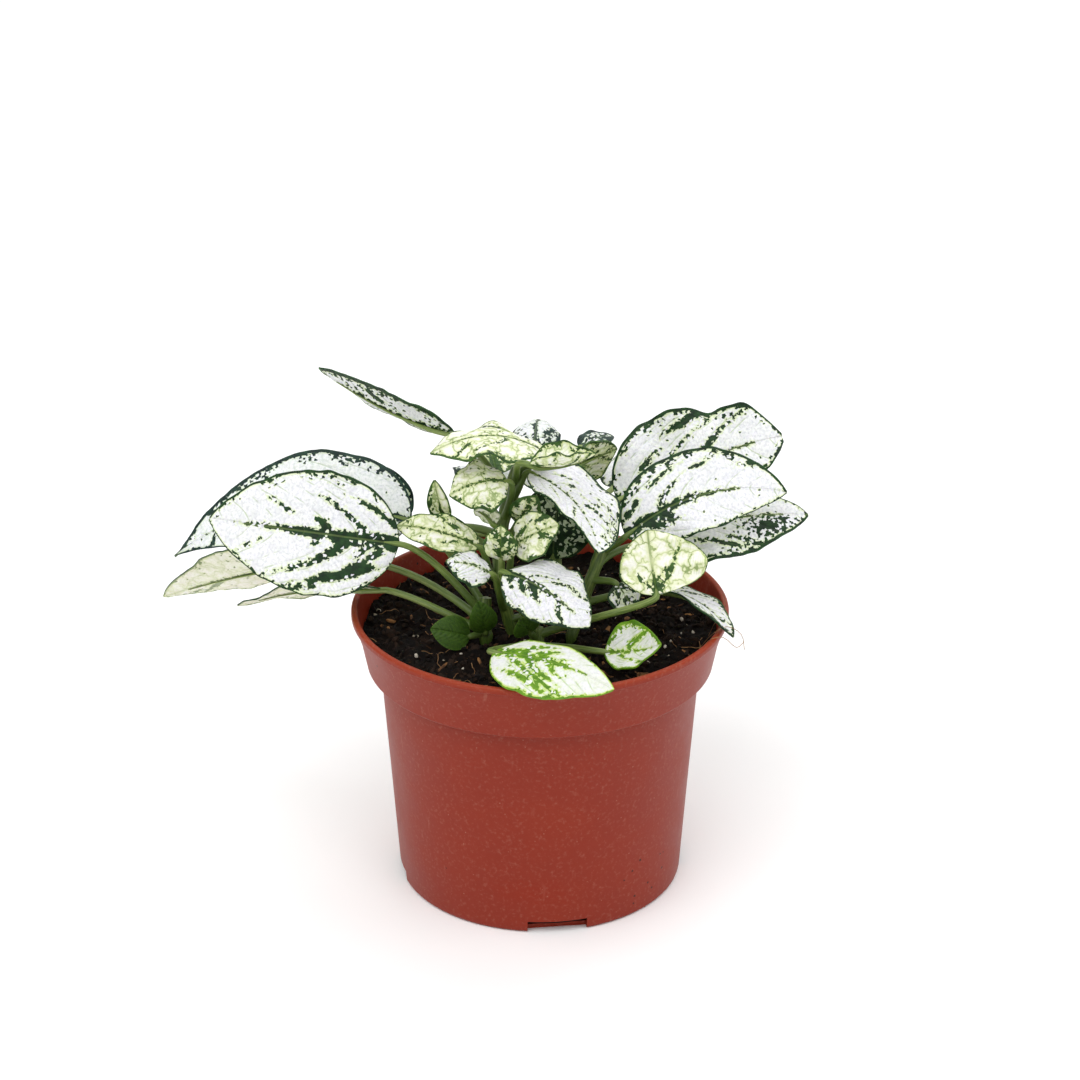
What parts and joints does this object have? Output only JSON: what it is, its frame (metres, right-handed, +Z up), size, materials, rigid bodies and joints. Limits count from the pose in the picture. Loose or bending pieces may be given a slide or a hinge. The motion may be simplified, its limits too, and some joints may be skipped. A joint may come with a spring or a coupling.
{
  "type": "potted plant",
  "caption": "A white-splashed polka dot plant with broad, dark-veined oval leaves on short green stems, growing in a terracotta-coloured plastic nursery pot filled with dark potting soil.",
  "frame": {"origin": "The centre of the pot's flat underside, on the pot's axis.", "axes": "+Z is up the pot's axis. -Y is the side shown from the front, and +X is to the right as seen from it, along the plant's longest spread."},
  "size_m": [0.2103, 0.1591, 0.1639],
  "materials": {
    "terracotta_plastic": "satin, fine speckle",
    "peat_soil": "rough, crumbly",
    "variegated_leaf": "satin, white with dark green along the veins",
    "green_stem": "satin"
  },
  "bodies": {
    "root": {"leaf_back_arch": "variegated_leaf", "leaf_back_centre": "variegated_leaf", "leaf_back_left_low": "variegated_leaf", "leaf_back_left_mid": "variegated_leaf", "leaf_back_right": "variegated_leaf", "leaf_back_right_low": "variegated_leaf", "leaf_back_right_mid": "variegated_leaf", "leaf_back_small": "variegated_leaf", "leaf_back_top": "variegated_leaf", "leaf_crown_front": "variegated_leaf", "leaf_crown_left": "variegated_leaf", "leaf_crown_right": "variegated_leaf", "leaf_front_curl": "variegated_leaf", "leaf_front_fold": "variegated_leaf", "leaf_front_right": "variegated_leaf", "leaf_front_rim": "variegated_leaf", "leaf_inner_curl": "variegated_leaf", "leaf_inner_dark": "variegated_leaf", "leaf_inner_left": "variegated_leaf", "leaf_inner_pale": "variegated_leaf", "leaf_left_back": "variegated_leaf", "leaf_left_far": "variegated_leaf", "leaf_left_low": "variegated_leaf", "leaf_left_low_far": "variegated_leaf", "leaf_left_near": "variegated_leaf", "leaf_right_far": "variegated_leaf", "leaf_right_low": "variegated_leaf", "leaf_right_near": "variegated_leaf", "leaf_right_pale": "variegated_leaf", "leaf_right_small": "variegated_leaf", "leaf_right_tip": "variegated_leaf", "leaf_top_left": "variegated_leaf", "leaf_upright": "variegated_leaf", "leaf_young_left": "variegated_leaf", "leaf_young_mid": "variegated_leaf", "leaf_young_right": "variegated_leaf", "pot": "terracotta_plastic", "soil": "peat_soil", "stem_back": "green_stem", "stem_centre": "green_stem", "stem_front": "green_stem", "stem_left": "green_stem", "stem_right": "green_stem"}
  },
  "joints": []
}
